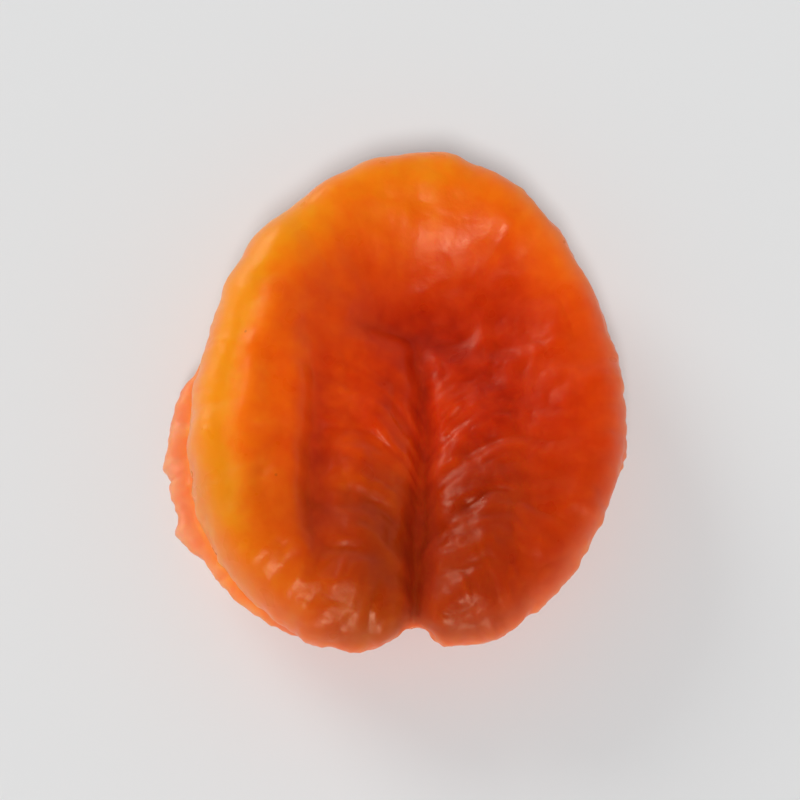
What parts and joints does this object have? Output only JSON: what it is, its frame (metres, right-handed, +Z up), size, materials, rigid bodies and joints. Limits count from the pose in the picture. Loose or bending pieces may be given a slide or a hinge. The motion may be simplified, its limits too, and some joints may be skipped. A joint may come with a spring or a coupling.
{
  "type": "dried apricot",
  "caption": "Pitted, whole-dried apricot: a thick oval cushion with a sunken face, a slit that two puckered lips close over, a rolled wrinkled rim and a small flat spot to rest on.",
  "frame": {"origin": "middle of the underside of the fruit's bounding box, on the surface it rests on", "axes": "+Y along the fruit from its stem end to its rounded tip, +Z up out of the sunken face, X across the fruit"},
  "size_m": [0.0398, 0.0462, 0.0123],
  "materials": {
    "dried_flesh": "moist, slightly glossy, translucent orange flesh with fine wrinkles"
  },
  "bodies": {
    "root": {"dried_apricot": "dried_flesh"}
  },
  "joints": []
}
